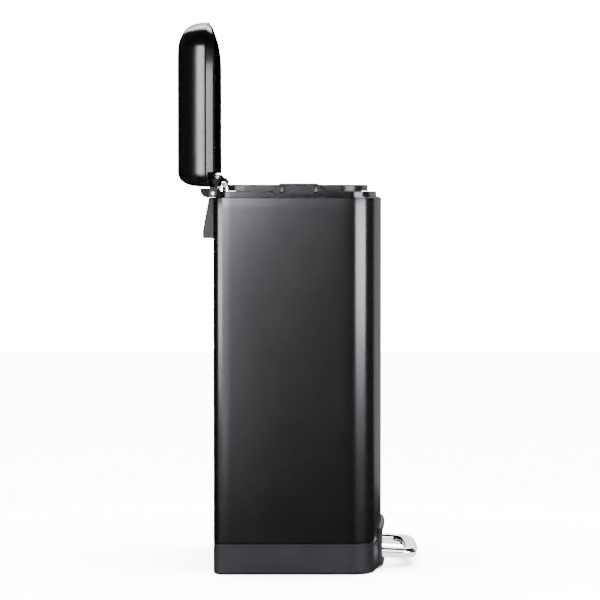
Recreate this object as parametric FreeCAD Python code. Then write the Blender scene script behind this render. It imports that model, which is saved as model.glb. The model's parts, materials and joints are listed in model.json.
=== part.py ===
import FreeCAD, Part
import math
import os

# Slim pedal can: front faces -Y, width along X, +Z up, origin on the floor under the middle of the base.
# It stands as it is used with the pedal held down: lid open and upright, pedal pressed, push rod up.

# Body
HALF_W = 202.0
BACK_Y = 135.0
FRONT_Y = -135.0
REAR_R = 16.0
FRONT_R = 40.0
BOW_R = 1000.0
SHEET = 1.2
WALL_IN = BACK_Y - SHEET
HEM = 2.8
HEM_DEEP = 8.0
SEAM_Z = 49.0
RIM_Z = 596.5
GROOVE = 2.0
SKIRT_Z = 1.5
SKIRT_WALL = 3.0
DECK_Z = 64.0
DECK_TOP = 67.0
SCREW_R = 1.5
FOOT_PLACES = [(sx * 165, y) for sx in (-1, 1) for y in (-88, 100)]
FOOT_R = 12.0
FOOT_Z = 4.0
BASE_SCREWS_X = (-140.0, 140.0)
BASE_SCREW_Z = 56.0
BOSS_X = 63.0
BOSS_W = 10.0
BOSS_Y = 13.0

# Ring under the lid
COLLAR_HALF = 198.9
COLLAR_BACK = 131.9
COLLAR_FRONT = -131.9
COLLAR_Z = 574.0
LEDGE_Z = 598.0
TIER_Z = 606.5
TIER_HALF = 195.0
TIER_BACK = 123.0
TIER_FRONT = -127.0
COLLAR_WALL = 2.2
MOUTH_HALF = 175.0
MOUTH_BACK = 101.5
MOUTH_FRONT = -106.0
COLLAR_ROOF = 594.0
LID_SEAT_Z = 596.0
TROUGH_HALF = 122.0
TROUGH_Z = TIER_Z - 4
DIP_Z = 601.5
DIP_BOTTOM = 36.0
DIP_TOP = 50.0

# Hinge
HINGE_Y = 138.2
HINGE_Z = 603.2
HINGE_HALF = 100.0
AXLE_R = 2.5
RUN = 0.05
BRACKET_X = 100.4
BRACKET_T = 3.0
HUB_R = 6.5
LEAF = 14.0
BLOCK_Y0 = 130.0
BLOCK_Y1 = 158.0
BLOCK_TOP = 611.0
TAB_Y = 129.0
TAB_X0 = 25.0
TAB_X1 = 75.0
TAB_SCREW_X = (-50, 50)
TAB_SCREW_Z = 586.0

# Outlines of the hinge plates, ahead of and above the pin
BRACKET_OUTLINE = [(0, HUB_R), (7, 5.4), (16, 5.2), (21.8, 5.2), (23.4, 6.7), (30.4, 6.7), (32, 3.6),
                   (31.2, 0.2), (31.6, -5), (29.4, -11), (24.5, -12.6), (20.5, -10.6), (13, -8.4),
                   (7, -6.4), (0, -HUB_R)]
KIDNEY = ((28.6, 3.2), (24.8, -0.9))
KIDNEY_HALF = 1.8
LOBE = (26.4, -7.6)
LOBE_PIN_R = 2.8
ARM_OUTLINE = [(0, HUB_R), (7, 5.4), (24, 5.4), (27, 0), (28, -8), (25, -19.5), (19, -24), (12, -21.5),
               (6.8, -17), (6.8, -6.4), (0, -HUB_R)]
LEAF_OUTLINE = [(11.8, 2.4), (13.2, 1.9), (9.6, -11.5), (8.2, -11.0)]
FLANGE_FAR = 24.0
FLANGE_NEAR = 13.6
FLANGE_T = 2.1
FLANGE_SCREW = 19.0
HEAD_T = 1.6

# Handle
HANDLE_HALF = 60.0
HANDLE_PROFILE = [(BACK_Y, 596.0), (146.0, 596.0), (156.0, 541.0), (156.0, 533.0), (153.5, 530.0),
                  (BACK_Y, 530.0)]
HANDLE_POCKET = [(BACK_Y - 1, 582.0), (143.0, 582.0), (152.6, 540.0), (152.6, 529.0), (BACK_Y - 1, 529.0)]
HANDLE_SCREWS = [(-18, BACK_Y, 585), (18, BACK_Y, 585)]

# Lid, described shut and then turned up about the hinge
LID_HALF = 202.3
LID_BACK = 128.0
LID_FRONT = -139.6
LID_REAR_R = 20.0
LID_FRONT_R = 44.0
LID_RIM_Z = 596.8
LID_SEAM_Z = 610.7
LID_TOP_Z = 658.0
LID_SHOULDER = 33.0
LID_WALL = 3.0
SHELF_IN = 9.0
SHELF_T = 2.0
LIP_RISE = [(-62.0, LID_RIM_Z), (-110.0, 599.4), (-142.0, 607.6)]
LINER_Z = 650.0
LINER_ROUND = 26.0
LINER_HALF = 198.5
LINER_BACK = 124.2
LINER_FRONT = -135.0
LINER_WALL = 2.0
LID_SCREWS = [(sx * 194.0, y) for sx in (-1, 1) for y in (-60, 60)]
BUMPERS = [(sx * 194.0, y) for sx in (-1, 1) for y in (-95, 100)]
SHELF_Z = LID_SEAM_Z - SHELF_T
WINDOW_Y = HINGE_Y - 33.5
LID_OPEN = 90.0

# Pedal, lever and rod
PIVOT_Y = -20.0
PIVOT_Z = 30.0
ROD_AHEAD = 16.0
ROD_STROKE = 28.0
ROD_R = 3.0
PIN_R = 2.5
ROD_X = 9.0
ROD_BEND = 6.0
ROD_Y = HINGE_Y - ROD_AHEAD
LEVER_UP = math.degrees(math.atan(ROD_STROKE / 2 / (ROD_Y - PIVOT_Y)))
PEDAL_HALF = 108.0
PEDAL_FRONT = -194.3
PEDAL_BACK = -60.0
PEDAL_T = 17.5
PEDAL_TILT = 2.6
PEDAL_BAR = 21.0
PEDAL_ARM = 22.0
PEDAL_AXLE_R = 4.0
PEDAL_AXLE_HALF = 75.0
HUB_HALF = 56.0
CLIP_X0 = 68.5
CLIP_X1 = 70.0
PLATE_HALF = 50.0
PLATE_T = 3.0
LEVER_T = 8.0
SLOT_REACH = 1.6
PIN_PLAY = 0.35
YOKE_Z = 446.0

# Guides, cover and damper on the inside of the rear wall
GUIDE_X0 = -12.0
GUIDE_X1 = 30.0
GUIDE_Z = (90.0, 562.0)
COVER = (-60.0, 42.0, 106.5, 100.0, 556.0)
COVER_T = 1.0
COVER_WING = 12.0
DAMPER_X = -34.0
DAMPER_Y = 121.0
DAMPER_Z0 = 300.0
DAMPER_Z1 = 400.0
DAMPER_R = 9.0
PLUNGER_R = 3.0

# Arched surround of the pedal
ARCH_HALF = 120.0
ARCH_Z0 = 3.0
ARCH_SIDE_Z = 65.0
ARCH_TOP_Z = 76.0
ARCH_LIP = 3.5
ARCH_WALL = 3.0
ARCH_PROUD = 6.0
ARCH_SHOULDER_R = 18.0
ARCH_FOOT_R = 10.0
TUNNEL_Y = -112.0

# Bucket
BUCKET_HALF = 172.0
BUCKET_BACK = 100.0
BUCKET_FRONT = -103.0
BUCKET_TAPER = 11.0
BUCKET_Z = 70.0
BUCKET_WALL = 2.0
BUCKET_RIM_Z = 606.8
BUCKET_TOP_Z = 617.0
RIM_HALF = 182.0
RIM_BACK = 113.0
RIM_FRONT = -113.0
RIM_NOTCH_Y = 105.0
GRIP_TOP_Z = 619.0
GRIP_POCKET = 23.0
GRIP_OUTLINE = [(-44.5, BUCKET_RIM_Z), (-29.5, GRIP_TOP_Z), (29.5, GRIP_TOP_Z), (44.5, BUCKET_RIM_Z),
                (30.5, DIP_Z + 0.5), (-30.5, DIP_Z + 0.5)]


def v(x, y, z):
    return FreeCAD.Vector(x, y, z)


def box(x0, x1, y0, y1, z0, z1):
    return Part.makeBox(x1 - x0, y1 - y0, z1 - z0, v(x0, y0, z0))


def rod_x(x0, x1, y, z, r):
    return Part.makeCylinder(r, x1 - x0, v(x0, y, z), v(1, 0, 0))


def rod_y(x, y0, y1, z, r):
    return Part.makeCylinder(r, y1 - y0, v(x, y0, z), v(0, 1, 0))


def rod_z(x, y, z0, z1, r):
    return Part.makeCylinder(r, z1 - z0, v(x, y, z0), v(0, 0, 1))


def join(shapes):
    whole = shapes[0]
    for shape in shapes[1:]:
        whole = whole.fuse(shape)
    return whole.removeSplitter()


def edges_where(shape, test):
    found = []
    for edge in shape.Edges:
        mid = edge.valueAt((edge.FirstParameter + edge.LastParameter) / 2)
        if test(edge, mid):
            found.append(edge)
    return found


def upright(edge):
    a = edge.Vertexes[0].Point
    b = edge.Vertexes[-1].Point
    return abs(a.x - b.x) + abs(a.y - b.y) < 0.01 < abs(a.z - b.z)


def plan(half, back, front, r_back, r_front, z0, z1):
    """Upright block with four rounded corners and a gently bowed front."""
    side_y = front + half * half / (2 * BOW_R)
    a = v(half, side_y, z0)
    b = v(half, back, z0)
    c = v(-half, back, z0)
    d = v(-half, side_y, z0)
    bow = Part.Arc(d, v(0, front, z0), a).toShape()
    outline = Part.Wire([Part.makeLine(a, b), Part.makeLine(b, c), Part.makeLine(c, d), bow])
    block = Part.Face(outline).extrude(v(0, 0, z1 - z0))
    middle = (back + front) / 2
    rear = edges_where(block, lambda e, m: upright(e) and m.y > middle)
    block = block.makeFillet(r_back, rear)
    fore = edges_where(block, lambda e, m: upright(e) and m.y < middle)
    return block.makeFillet(r_front, fore)


def body_plan(inset, z0, z1):
    return plan(HALF_W - inset, BACK_Y - inset, FRONT_Y + inset, REAR_R - inset, FRONT_R - inset, z0, z1)


def lid_plan(inset, z0, z1):
    return plan(LID_HALF - inset, LID_BACK - inset, LID_FRONT + inset,
                LID_REAR_R - inset, LID_FRONT_R - inset, z0, z1)


def side_prism(points, x0, x1):
    """Polygon of (y, z) points drawn out along X."""
    corners = [v(x0, y, z) for y, z in points]
    return Part.Face(Part.makePolygon(corners + corners[:1])).extrude(v(x1 - x0, 0, 0))


def hinge_prism(points, x0, x1):
    """Polygon of points given ahead of and above the hinge pin, drawn out along X."""
    return side_prism([(HINGE_Y - f, HINGE_Z + u) for f, u in points], x0, x1)


def hinge_rod(f, u, r, x0, x1):
    return rod_x(x0, x1, HINGE_Y - f, HINGE_Z + u, r)


def hinge_slot(start, end, half, x0, x1):
    """Round-ended slot between two points ahead of and above the hinge pin."""
    df = end[0] - start[0]
    du = end[1] - start[1]
    length = math.hypot(df, du)
    nf = -du / length * half
    nu = df / length * half
    sides = [(start[0] + nf, start[1] + nu), (end[0] + nf, end[1] + nu),
             (end[0] - nf, end[1] - nu), (start[0] - nf, start[1] - nu)]
    ends = [hinge_rod(f, u, half, x0, x1) for f, u in (start, end)]
    return join([hinge_prism(sides, x0, x1)] + ends)


def arch(inset, y0, y1):
    """Block with an arched front outline, for the pedal surround."""
    half = ARCH_HALF - inset
    a = v(-half, y0, ARCH_Z0 + inset)
    b = v(half, y0, ARCH_Z0 + inset)
    c = v(half, y0, ARCH_SIDE_Z - inset)
    d = v(-half, y0, ARCH_SIDE_Z - inset)
    top = Part.Arc(c, v(0, y0, ARCH_TOP_Z - inset), d).toShape()
    outline = Part.Wire([Part.makeLine(a, b), Part.makeLine(b, c), top, Part.makeLine(d, a)])
    block = Part.Face(outline).extrude(v(0, y1 - y0, 0))
    shoulders = edges_where(block, lambda e, m: abs(m.z - c.z) < 0.01 and abs(abs(m.x) - half) < 0.01)
    block = block.makeFillet(ARCH_SHOULDER_R - inset, shoulders)
    lower = edges_where(block, lambda e, m: abs(m.z - a.z) < 0.01 and abs(abs(m.x) - half) < 0.01)
    return block.makeFillet(ARCH_FOOT_R - inset / 2, lower)


def lift(shape):
    """Turns a piece described on the shut lid up to the open lid."""
    return shape.rotated(v(0, HINGE_Y, HINGE_Z), v(1, 0, 0), -LID_OPEN)


def press(shape, degrees):
    """Turns a piece of the pedal about its axle, positive with the front down."""
    return shape.rotated(v(0, PIVOT_Y, PIVOT_Z), v(1, 0, 0), degrees)


# ---- standing pieces ----

def body_shell():
    wall = body_plan(0, SEAM_Z, RIM_Z)
    wall = wall.makeFillet(1.0, edges_where(wall, lambda e, m: abs(m.z - RIM_Z) < 0.01))
    hollow = body_plan(SHEET, SEAM_Z - 1, RIM_Z - HEM_DEEP)
    mouth = body_plan(HEM, RIM_Z - HEM_DEEP - 1, RIM_Z + 1)
    wall = wall.cut(hollow).cut(mouth)
    wall = wall.cut(arch(ARCH_LIP, FRONT_Y - 20, -60))
    for x, y, z in HANDLE_SCREWS:
        wall = wall.cut(rod_y(x, y - 10, y + 10, z, SCREW_R))
    for x in BASE_SCREWS_X:
        wall = wall.cut(rod_y(x, BACK_Y - 10, BACK_Y + 1, BASE_SCREW_Z, SCREW_R))
    return wall


def base():
    skirt = body_plan(0, SKIRT_Z, SEAM_Z - GROOVE)
    skirt = skirt.makeFillet(3.0, edges_where(skirt, lambda e, m: abs(m.z - SKIRT_Z) < 0.01))
    upstand = body_plan(SHEET, SEAM_Z - GROOVE - 1, DECK_TOP)
    whole = skirt.fuse(upstand).cut(body_plan(SKIRT_WALL, 0, DECK_Z))
    for side in (-1, 1):
        x0 = side * BOSS_X - BOSS_W / 2
        x1 = x0 + BOSS_W
        whole = whole.fuse(box(x0, x1, PIVOT_Y - BOSS_Y, PIVOT_Y + BOSS_Y, PIVOT_Z - 10, DECK_Z + 1))
        whole = whole.cut(rod_x(x0 - 1, x1 + 1, PIVOT_Y, PIVOT_Z, PEDAL_AXLE_R))
    for x, y in FOOT_PLACES:
        whole = whole.fuse(rod_z(x, y, FOOT_Z, DECK_Z + 1, FOOT_R + 1))
    whole = whole.cut(arch(ARCH_LIP, FRONT_Y - 20, TUNNEL_Y))
    for x in BASE_SCREWS_X:
        whole = whole.cut(rod_y(x, BACK_Y - 10, BACK_Y, BASE_SCREW_Z, SCREW_R))
    return whole.cut(rod_z(ROD_X, ROD_Y, DECK_Z - 1, DECK_TOP + 1, ROD_R + 3)).removeSplitter()


def base_feet():
    pads = []
    for x, y in FOOT_PLACES:
        pad = rod_z(x, y, 0, FOOT_Z, FOOT_R)
        pads.append(pad.makeFillet(1.0, edges_where(pad, lambda e, m: m.z < 0.01)))
    return Part.makeCompound(pads)


def base_screws():
    """Two screws that hold the base to the rear wall of the shell from inside."""
    screws = []
    inner_y = BACK_Y - SKIRT_WALL
    for x in BASE_SCREWS_X:
        head = rod_y(x, inner_y - 2.0, inner_y, BASE_SCREW_Z, 4.0)
        screws.append(head.fuse(rod_y(x, inner_y - 0.5, BACK_Y - 0.4, BASE_SCREW_Z, SCREW_R)))
    return Part.makeCompound(screws)


def pedal_housing():
    flange = plan(HALF_W + ARCH_PROUD, 60, FRONT_Y - ARCH_PROUD, REAR_R, FRONT_R, 0, 100)
    flange = flange.common(arch(0, FRONT_Y - 30, -90)).cut(body_plan(0, -1, 200))
    flange = flange.makeFillet(2.0, outer_lip(flange))
    tunnel = body_plan(0, 0, 100).common(arch(ARCH_LIP, FRONT_Y - 30, TUNNEL_Y))
    whole = flange.fuse(tunnel)
    return whole.cut(arch(ARCH_LIP + ARCH_WALL, FRONT_Y - 40, -60)).removeSplitter()


def outer_lip(flange):
    """Edges where the flange's rim meets its bowed front face."""
    bow_y = FRONT_Y - ARCH_PROUD
    centre_y = bow_y + BOW_R
    return edges_where(flange, lambda e, m: abs(math.hypot(m.x, m.y - centre_y) - BOW_R) < 0.05)


def top_collar():
    foot = plan(COLLAR_HALF, COLLAR_BACK, COLLAR_FRONT, 13, 37, COLLAR_Z, LEDGE_Z)
    tier = plan(TIER_HALF, TIER_BACK, TIER_FRONT, 14, 33, LEDGE_Z - 1, TIER_Z)
    tier = tier.makeFillet(1.5, edges_where(tier, lambda e, m: abs(m.z - TIER_Z) < 0.01))
    whole = foot.fuse(tier)
    under = plan(COLLAR_HALF - COLLAR_WALL, COLLAR_BACK - COLLAR_WALL, COLLAR_FRONT + COLLAR_WALL,
                 11, 35, COLLAR_Z - 1, COLLAR_ROOF)
    keep = plan(MOUTH_HALF + COLLAR_WALL, MOUTH_BACK + COLLAR_WALL, MOUTH_FRONT - COLLAR_WALL,
                22, 32, COLLAR_Z - 2, COLLAR_ROOF + 1)
    whole = whole.cut(under.cut(keep))
    trough = box(-TROUGH_HALF, TROUGH_HALF, MOUTH_BACK, COLLAR_BACK, COLLAR_Z, TROUGH_Z)
    around = box(-HALF_W, HALF_W, FRONT_Y - 5, BACK_Y, LID_SEAT_Z, TIER_Z + 1)
    around = around.cut(lid_plan(LID_WALL + 0.6, LID_SEAT_Z - 1, TIER_Z + 2))
    around = around.fuse(box(-HALF_W, HALF_W, TIER_BACK, BACK_Y, LID_SEAT_Z, TIER_Z + 1))
    whole = whole.fuse(trough).cut(around)
    inner = TROUGH_HALF - COLLAR_WALL
    whole = whole.cut(box(-inner, inner, MOUTH_BACK + COLLAR_WALL, BACK_Y, COLLAR_Z + 3, TIER_Z + 1))
    whole = whole.cut(box(ROD_X - 17, ROD_X + 7, MOUTH_BACK + 8, COLLAR_BACK - 2, COLLAR_Z - 1, COLLAR_Z + 4))
    whole = whole.cut(plan(MOUTH_HALF, MOUTH_BACK, MOUTH_FRONT, 20, 30, COLLAR_Z - 1, TIER_Z + 1))
    for side in (-1, 1):
        dip = [(-DIP_TOP, TIER_Z + 1), (-DIP_BOTTOM, DIP_Z), (DIP_BOTTOM, DIP_Z), (DIP_TOP, TIER_Z + 1)]
        x0, x1 = sorted((side * (MOUTH_HALF - 2), side * (COLLAR_HALF + 1)))
        whole = whole.cut(side_prism(dip, x0, x1))
    return whole.removeSplitter()


def hinge_base():
    y0, y1, z0, z1 = BLOCK_Y0, BLOCK_Y1, RIM_Z, BLOCK_TOP
    block = box(-HINGE_HALF, HINGE_HALF, y0, y1, z0, z1)
    for y, z, radius in ((y0, z1, 5.0), (y1, z0, 11.0), (y1, z1, 2.0)):
        block = block.makeFillet(radius, edges_where(block, lambda e, m: abs(m.y - y) + abs(m.z - z) < 0.01))
    for side in (-1, 1):
        x0, x1 = sorted((side * TAB_X0, side * TAB_X1))
        block = block.fuse(box(x0, x1, TAB_Y, COLLAR_BACK, COLLAR_Z + 3, z0 + 2))
    block = block.cut(box(-BRACKET_T, BRACKET_T, y0 - 1, HINGE_Y + HUB_R + 1.3, z0 - 1, z1 + 1))
    return block.cut(hinge_rod(0, 0, AXLE_R, -HINGE_HALF - 1, HINGE_HALF + 1)).removeSplitter()


def hinge_axle():
    end = BRACKET_X + BRACKET_T + 3
    return hinge_rod(0, 0, AXLE_R, -end, end)


def hinge_base_screws():
    screws = []
    head_y = TAB_Y - 2.0
    for x in TAB_SCREW_X:
        head = rod_y(x, head_y - 2.2, head_y, TAB_SCREW_Z, 4.5)
        screws.append(head.fuse(rod_y(x, head_y - 0.1, TAB_Y, TAB_SCREW_Z, 2.0)))
    return Part.makeCompound(screws)


def rear_handle():
    grip = side_prism(HANDLE_PROFILE, -HANDLE_HALF, HANDLE_HALF)
    grip = grip.makeFillet(4.0, edges_where(grip, lambda e, m: abs(abs(m.x) - HANDLE_HALF) < 0.01 and
                                            m.y > BACK_Y + 1 and 535 < m.z < 595))
    grip = grip.cut(side_prism(HANDLE_POCKET, -HANDLE_HALF + 4, HANDLE_HALF - 4))
    for x, y, z in HANDLE_SCREWS:
        grip = grip.cut(rod_y(x, y - 1, y + 6, z, SCREW_R))
    return grip


def rear_handle_screws():
    screws = []
    for x, y, z in HANDLE_SCREWS:
        stem = rod_y(x, y - SHEET - 1, y + 6, z, SCREW_R)
        screws.append(stem.fuse(rod_y(x, y - SHEET - 2.4, y - SHEET, z, 3.2)))
    return Part.makeCompound(screws)


def pedal_axle():
    return rod_x(-PEDAL_AXLE_HALF, PEDAL_AXLE_HALF, PIVOT_Y, PIVOT_Z, PEDAL_AXLE_R)


def axle_clips():
    clips = []
    for side in (-1, 1):
        x0, x1 = sorted((side * CLIP_X0, side * CLIP_X1))
        clip = rod_x(x0, x1, PIVOT_Y, PIVOT_Z, 8.0)
        clips.append(clip.cut(rod_x(x0 - 1, x1 + 1, PIVOT_Y, PIVOT_Z, PEDAL_AXLE_R)))
    return Part.makeCompound(clips)


def rod_guide(z):
    """Shelf on the rear wall with a hole that steers the push rod."""
    shelf = box(GUIDE_X0, GUIDE_X1, ROD_Y - 12, WALL_IN, z, z + 4)
    shelf = shelf.fuse(box(GUIDE_X0, GUIDE_X1, WALL_IN - 2, WALL_IN, z - 16, z + 4))
    return shelf.cut(rod_z(ROD_X, ROD_Y, z - 1, z + 5, ROD_R + 0.08))


def rod_cover():
    """Steel channel over the rod and damper, on the inside of the rear wall."""
    x0, x1, y0, z0, z1 = COVER
    t = COVER_T
    cover = box(x0, x1, y0, WALL_IN, z0, z1)
    cover = cover.cut(box(x0 + t, x1 - t, y0 + t, WALL_IN + 1, z0 - 1, z1 + 1))
    for a, b in ((x0 - COVER_WING, x0 + t), (x1 - t, x1 + COVER_WING)):
        cover = cover.fuse(box(a, b, WALL_IN - t, WALL_IN, z0, z1))
    return cover.removeSplitter()


def damper_cylinder():
    tube = rod_z(DAMPER_X, DAMPER_Y, DAMPER_Z0, DAMPER_Z1, DAMPER_R)
    return tube.cut(rod_z(DAMPER_X, DAMPER_Y, DAMPER_Z0 + 5, DAMPER_Z1 + 1, PLUNGER_R + RUN))


def damper_bracket():
    z0 = DAMPER_Z0 + 40
    z1 = z0 + 14
    half = DAMPER_R + 3
    band = box(DAMPER_X - half, DAMPER_X + half, DAMPER_Y - half + 0.5, WALL_IN, z0, z1)
    return band.cut(rod_z(DAMPER_X, DAMPER_Y, z0 - 1, z1 + 1, DAMPER_R))


# ---- lid ----

def lid_shell():
    outer = lid_plan(0, LID_SEAM_Z, LID_TOP_Z)
    outer = outer.makeFillet(LID_SHOULDER, edges_where(outer, lambda e, m: abs(m.z - LID_TOP_Z) < 0.01))
    inner = lid_plan(SHEET, LID_SEAM_Z - 1, LID_TOP_Z - SHEET)
    top = LID_TOP_Z - SHEET
    inner = inner.makeFillet(LID_SHOULDER - SHEET, edges_where(inner, lambda e, m: abs(m.z - top) < 0.01))
    return lift(outer.cut(inner))


def lid_frame():
    """Rim of the lid, with a shelf inside, a lip that rises to the front and a window at each hinge."""
    ring = lid_plan(0, LID_RIM_Z, LID_SEAM_Z)
    ring = ring.cut(lid_plan(LID_WALL, LID_RIM_Z - 1, SHELF_Z))
    ring = ring.cut(lid_plan(LID_WALL + SHELF_IN, LID_RIM_Z - 1, LID_SEAM_Z + 1))
    start, middle, end = [v(-LID_HALF - 1, y, z) for y, z in LIP_RISE]
    below = v(start.x, end.y, start.z - 5)
    foot = v(start.x, start.y, start.z - 5)
    rise = Part.Arc(start, middle, end).toShape()
    under = [rise, Part.makeLine(end, below), Part.makeLine(below, foot), Part.makeLine(foot, start)]
    gap = Part.Face(Part.Wire(under)).extrude(v(2 * LID_HALF + 2, 0, 0))
    ring = ring.cut(gap)
    notch_y0 = LID_BACK - LID_WALL - 0.5
    ring = ring.cut(box(ROD_X - 17, ROD_X + 7, notch_y0, LID_BACK + 1, LID_RIM_Z - 1, SHELF_Z))
    for side in (-1, 1):
        x0, x1 = sorted((side * (BRACKET_X - LEAF - 1), side * (BRACKET_X + BRACKET_T + 1)))
        ring = ring.cut(box(x0, x1, notch_y0, LID_BACK + 1, LID_RIM_Z - 1, SHELF_Z))
        x0, x1 = sorted((side * (LID_HALF - LID_REAR_R), side * (LID_HALF + 1)))
        ring = ring.cut(box(x0, x1, WINDOW_Y, LID_BACK + 1, LID_RIM_Z - 1, SHELF_Z))
    for x, y in LID_SCREWS:
        ring = ring.cut(rod_z(x, y, SHELF_Z - 1, LID_SEAM_Z + 1, SCREW_R))
    return lift(ring)


def lid_liner():
    t = LINER_WALL
    outer = plan(LINER_HALF, LINER_BACK, LINER_FRONT, 17, 41, LID_SEAM_Z, LINER_Z)
    outer = outer.makeFillet(LINER_ROUND, edges_where(outer, lambda e, m: abs(m.z - LINER_Z) < 0.01))
    inner = plan(LINER_HALF - t, LINER_BACK - t, LINER_FRONT + t, 15, 39, LID_SEAM_Z - 1, LINER_Z - t)
    inner = inner.makeFillet(LINER_ROUND - t, edges_where(inner, lambda e, m: abs(m.z - LINER_Z + t) < 0.01))
    tray = outer.cut(inner)
    for x, y in LID_SCREWS:
        x0, x1 = sorted((x - math.copysign(3.5, x), x + math.copysign(3.0, x)))
        post = box(x0, x1, y - 4, y + 4, LID_SEAM_Z, LID_SEAM_Z + 12)
        tray = tray.fuse(post)
        tray = tray.cut(rod_z(x, y, LID_SEAM_Z - 1, LID_SEAM_Z + 8, SCREW_R))
    return lift(tray.removeSplitter())


def lid_screws():
    screws = []
    for x, y in LID_SCREWS:
        head = rod_z(x, y, SHELF_Z - HEAD_T, SHELF_Z, 3.0)
        screws.append(head.fuse(rod_z(x, y, SHELF_Z - 0.5, LID_SEAM_Z + 8, SCREW_R)))
    return lift(Part.makeCompound(screws))


def lid_bumpers():
    pads = [rod_z(x, y, SHELF_Z - 1.5, SHELF_Z, 3.0) for x, y in BUMPERS]
    return lift(Part.makeCompound(pads))


def under_shelf(x0, x1):
    """Flange that lies against the underside of the lid's shelf."""
    return box(x0, x1, HINGE_Y - FLANGE_FAR, HINGE_Y - FLANGE_NEAR, SHELF_Z - FLANGE_T, SHELF_Z)


def flange_screw(x, r):
    return rod_z(x, HINGE_Y - FLANGE_SCREW, SHELF_Z - FLANGE_T - HEAD_T, SHELF_Z - FLANGE_T, r)


def hinge_bracket(side):
    """Plate with the hinge eye, a kidney slot and a flange screwed up under the lid's shelf."""
    x0, x1 = sorted((side * BRACKET_X, side * (BRACKET_X + BRACKET_T)))
    plate = join([hinge_prism(BRACKET_OUTLINE, x0, x1), hinge_rod(0, 0, HUB_R, x0, x1),
                  hinge_rod(LOBE[0], LOBE[1], 4.5, x0, x1)])
    f0, f1 = sorted((side * (BRACKET_X - 16), side * (BRACKET_X + BRACKET_T)))
    plate = plate.fuse(under_shelf(f0, f1))
    plate = plate.cut(hinge_slot(KIDNEY[0], KIDNEY[1], KIDNEY_HALF, x0 - 1, x1 + 1))
    plate = plate.cut(hinge_rod(0, 0, AXLE_R + RUN, x0 - 1, x1 + 1))
    return lift(plate.removeSplitter())


def bracket_pins():
    pins = []
    for side in (-1, 1):
        x0, x1 = sorted((side * (BRACKET_X + BRACKET_T), side * (BRACKET_X + BRACKET_T + 1.5)))
        pins.append(hinge_rod(LOBE[0], LOBE[1], LOBE_PIN_R, x0, x1))
    return lift(Part.makeCompound(pins))


def bracket_screws():
    return lift(Part.makeCompound([flange_screw(side * (BRACKET_X - 9), 3.2) for side in (-1, 1)]))


def hinge_leaves():
    """Plated strips between the brackets and the pin, one beside each bracket."""
    strips = []
    for side in (-1, 1):
        x0, x1 = sorted((side * (BRACKET_X - LEAF), side * BRACKET_X))
        strips.append(hinge_prism(LEAF_OUTLINE, x0, x1))
    return lift(Part.makeCompound(strips))


def lift_arm():
    """Plate that the push rod drives: its slot lets the rod's pin run straight while the lid turns."""
    x0, x1 = -2.0, 2.0
    plate = hinge_prism(ARM_OUTLINE, x0, x1).fuse(hinge_rod(0, 0, HUB_R, x0, x1))
    plate = plate.fuse(under_shelf(-14, 14))
    near = ROD_AHEAD / math.sqrt(2)
    far = (ROD_AHEAD + ROD_STROKE / 2) / 2
    plate = plate.cut(hinge_slot((near, -near), (far, -far), PIN_R + 1.6, x0 - 1, x1 + 1))
    plate = plate.cut(hinge_rod(0, 0, AXLE_R + RUN, x0 - 1, x1 + 1))
    return lift(plate.removeSplitter())


def lift_arm_screws():
    return lift(Part.makeCompound([flange_screw(x, 3.0) for x in (-9, 10)]))


# ---- pedal ----

def pedal():
    outer = plan(PEDAL_HALF, PEDAL_BACK, PEDAL_FRONT, 10, 26, PIVOT_Z - PEDAL_T / 2, PIVOT_Z + PEDAL_T / 2)
    inner = plan(PEDAL_HALF - PEDAL_ARM, PEDAL_BACK - PEDAL_ARM, PEDAL_FRONT + PEDAL_BAR, 8, 14,
                 PIVOT_Z - PEDAL_T, PIVOT_Z + PEDAL_T)
    loop = outer.cut(inner)
    rims = edges_where(loop, lambda e, m: abs(abs(m.z - PIVOT_Z) - PEDAL_T / 2) < 0.01)
    return press(loop.makeFillet(4.5, rims), PEDAL_TILT)


def lever_bar(x0, x1, t):
    """Rear arm: a bar from the axle up to the rod, with a slotted eye."""
    reach = ROD_Y - PIVOT_Y
    outline = [(PIVOT_Y, PIVOT_Z + t), (PIVOT_Y + reach, PIVOT_Z + t * 0.75),
               (PIVOT_Y + reach, PIVOT_Z - t * 0.75), (PIVOT_Y, PIVOT_Z - t)]
    bar = side_prism(outline, x0, x1).fuse(rod_x(x0, x1, ROD_Y, PIVOT_Z, t * 0.75))
    y0 = ROD_Y - SLOT_REACH
    y1 = ROD_Y + SLOT_REACH
    r = PIN_R + PIN_PLAY
    slot = join([rod_x(x0 - 1, x1 + 1, y0, PIVOT_Z, r), rod_x(x0 - 1, x1 + 1, y1, PIVOT_Z, r),
                 box(x0 - 1, x1 + 1, y0, y1, PIVOT_Z - r, PIVOT_Z + r)])
    return bar.cut(slot).rotated(v(0, PIVOT_Y, PIVOT_Z), v(1, 0, 0), LEVER_UP)


def pedal_lever():
    half = PLATE_HALF
    top = PIVOT_Z - PEDAL_T / 2
    low = top - PLATE_T
    tube = rod_x(-HUB_HALF, HUB_HALF, PIVOT_Y, PIVOT_Z, LEVER_T)
    plate = press(box(-half, half, PEDAL_BACK - 20, PIVOT_Y, low, top), PEDAL_TILT)
    web = press(box(-half, half, PIVOT_Y - 9, PIVOT_Y - 4, low, PIVOT_Z), PEDAL_TILT)
    whole = join([tube, plate, web, lever_bar(-2.0, 2.0, LEVER_T)])
    clear = box(-half - 1, half + 1, PIVOT_Y - 3, PIVOT_Y + 1, PIVOT_Z - 20, PIVOT_Z - LEVER_T - 0.2)
    whole = whole.cut(press(clear, PEDAL_TILT))
    return whole.cut(rod_x(-HUB_HALF - 1, HUB_HALF + 1, PIVOT_Y, PIVOT_Z, PEDAL_AXLE_R + RUN)).removeSplitter()


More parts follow.
